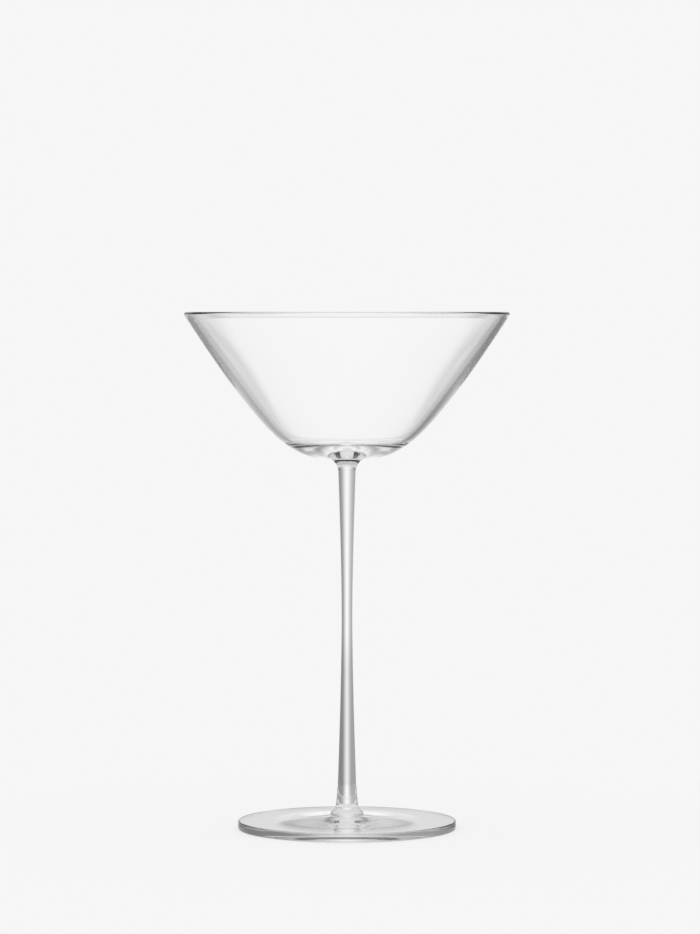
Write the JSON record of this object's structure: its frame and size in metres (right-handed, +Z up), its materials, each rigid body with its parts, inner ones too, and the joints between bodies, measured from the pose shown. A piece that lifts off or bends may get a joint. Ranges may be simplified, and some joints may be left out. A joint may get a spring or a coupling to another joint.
{
  "type": "cocktail glass",
  "caption": "Clear stemmed cocktail glass with a wide flared bowl, a slender waisted stem and a round flat foot, for serving a short drink without ice.",
  "frame": {"origin": "centre of the foot, on the plane that the glass stands on", "axes": "+Z up along the glass's axis, from the foot to the rim; X and Y are any two level directions, because the glass is round"},
  "size_m": [0.1134, 0.1134, 0.18],
  "materials": {
    "bowl_glass": "clear, fire-polished",
    "stem_glass": "clear, drawn",
    "foot_glass": "clear, spun"
  },
  "bodies": {
    "root": {"bowl": "bowl_glass", "stem": "stem_glass", "foot": "foot_glass"}
  },
  "joints": []
}
